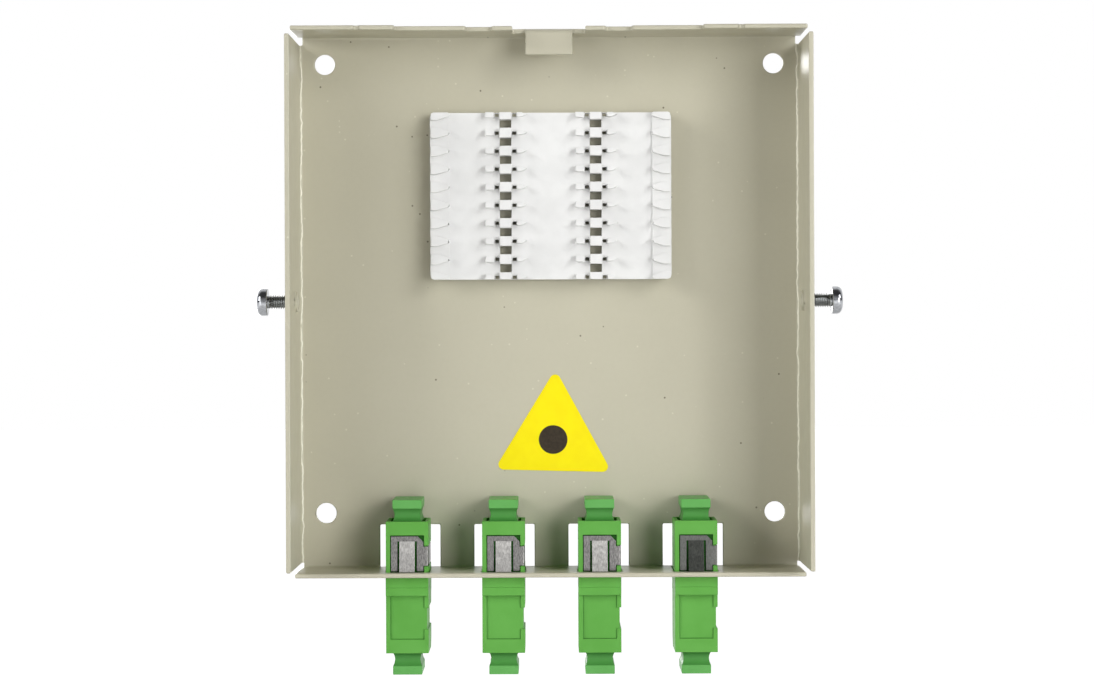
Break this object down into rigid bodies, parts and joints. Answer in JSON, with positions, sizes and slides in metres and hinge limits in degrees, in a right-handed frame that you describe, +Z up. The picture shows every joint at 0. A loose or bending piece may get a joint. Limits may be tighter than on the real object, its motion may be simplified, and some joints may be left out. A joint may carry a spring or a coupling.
{
  "type": "wall-mount fibre distribution box",
  "caption": "Open wall-mount box of folded painted sheet steel with a moulded splice holder, capped single-fibre adapters through its lower flange and cover screws in its sides.",
  "frame": {"origin": "middle of the four wall holes, on the wall face of the tray", "axes": "+Z up, +Y into the wall, +X to the right as the open box is looked into"},
  "size_m": [0.1278, 0.026, 0.1413],
  "materials": {
    "painted_steel": "pebble grey powder coat, fine orange peel, satin",
    "holder_plastic": "white moulded, satin",
    "foam_tape": "white adhesive foam",
    "sticker_film": "yellow vinyl film, satin",
    "zinc_plated_steel": "bright zinc plated",
    "spring_steel": "rolled stainless strip, blanked edges",
    "adapter_plastic": "green moulded, satin",
    "cap_plastic": "green moulded, soft and slightly translucent",
    "retainer_plastic": "natural moulded",
    "sleeve_ceramic": "polished white ceramic"
  },
  "bodies": {
    "box": {"back_tray": "painted_steel", "splice_holder": "holder_plastic", "splice_holder_tape": "foam_tape", "sticker": "sticker_film", "adapter_1_housing_inner": "adapter_plastic", "adapter_1_housing_outer": "adapter_plastic", "adapter_1_clip": "spring_steel", "adapter_1_retainer_inner": "retainer_plastic", "adapter_1_retainer_outer": "retainer_plastic", "adapter_1_sleeve": "sleeve_ceramic", "adapter_2_housing_inner": "adapter_plastic", "adapter_2_housing_outer": "adapter_plastic", "adapter_2_clip": "spring_steel", "adapter_2_retainer_inner": "retainer_plastic", "adapter_2_retainer_outer": "retainer_plastic", "adapter_2_sleeve": "sleeve_ceramic", "adapter_3_housing_inner": "adapter_plastic", "adapter_3_housing_outer": "adapter_plastic", "adapter_3_clip": "spring_steel", "adapter_3_retainer_inner": "retainer_plastic", "adapter_3_retainer_outer": "retainer_plastic", "adapter_3_sleeve": "sleeve_ceramic", "adapter_4_housing_inner": "adapter_plastic", "adapter_4_housing_outer": "adapter_plastic", "adapter_4_clip": "spring_steel", "adapter_4_retainer_inner": "retainer_plastic", "adapter_4_retainer_outer": "retainer_plastic", "adapter_4_sleeve": "sleeve_ceramic"},
    "adapter_1_cap_inner": {"adapter_1_cap_inner": "cap_plastic"},
    "adapter_1_cap_outer": {"adapter_1_cap_outer": "cap_plastic"},
    "adapter_2_cap_inner": {"adapter_2_cap_inner": "cap_plastic"},
    "adapter_2_cap_outer": {"adapter_2_cap_outer": "cap_plastic"},
    "adapter_3_cap_inner": {"adapter_3_cap_inner": "cap_plastic"},
    "adapter_3_cap_outer": {"adapter_3_cap_outer": "cap_plastic"},
    "adapter_4_cap_inner": {"adapter_4_cap_inner": "cap_plastic"},
    "adapter_4_cap_outer": {"adapter_4_cap_outer": "cap_plastic"},
    "cover_screw_left": {"cover_screw_left": "zinc_plated_steel"},
    "cover_screw_right": {"cover_screw_right": "zinc_plated_steel"}
  },
  "joints": [
    {"name": "adapter_1_cap_inner_pull", "type": "slide", "parent": "box", "child": "adapter_1_cap_inner", "axis": [0, 0, 1], "range_m": [0, 0.014]},
    {"name": "adapter_1_cap_outer_pull", "type": "slide", "parent": "box", "child": "adapter_1_cap_outer", "axis": [0, 0, -1], "range_m": [0, 0.014]},
    {"name": "adapter_2_cap_inner_pull", "type": "slide", "parent": "box", "child": "adapter_2_cap_inner", "axis": [0, 0, 1], "range_m": [0, 0.014]},
    {"name": "adapter_2_cap_outer_pull", "type": "slide", "parent": "box", "child": "adapter_2_cap_outer", "axis": [0, 0, -1], "range_m": [0, 0.014]},
    {"name": "adapter_3_cap_inner_pull", "type": "slide", "parent": "box", "child": "adapter_3_cap_inner", "axis": [0, 0, 1], "range_m": [0, 0.014]},
    {"name": "adapter_3_cap_outer_pull", "type": "slide", "parent": "box", "child": "adapter_3_cap_outer", "axis": [0, 0, -1], "range_m": [0, 0.014]},
    {"name": "adapter_4_cap_inner_pull", "type": "slide", "parent": "box", "child": "adapter_4_cap_inner", "axis": [0, 0, 1], "range_m": [0, 0.014]},
    {"name": "adapter_4_cap_outer_pull", "type": "slide", "parent": "box", "child": "adapter_4_cap_outer", "axis": [0, 0, -1], "range_m": [0, 0.014]},
    {"name": "cover_screw_left_travel", "type": "slide", "parent": "box", "child": "cover_screw_left", "axis": [-1, 0, 0], "range_m": [-0.0049, 0.003]},
    {"name": "cover_screw_right_travel", "type": "slide", "parent": "box", "child": "cover_screw_right", "axis": [1, 0, 0], "range_m": [-0.0049, 0.003]}
  ]
}
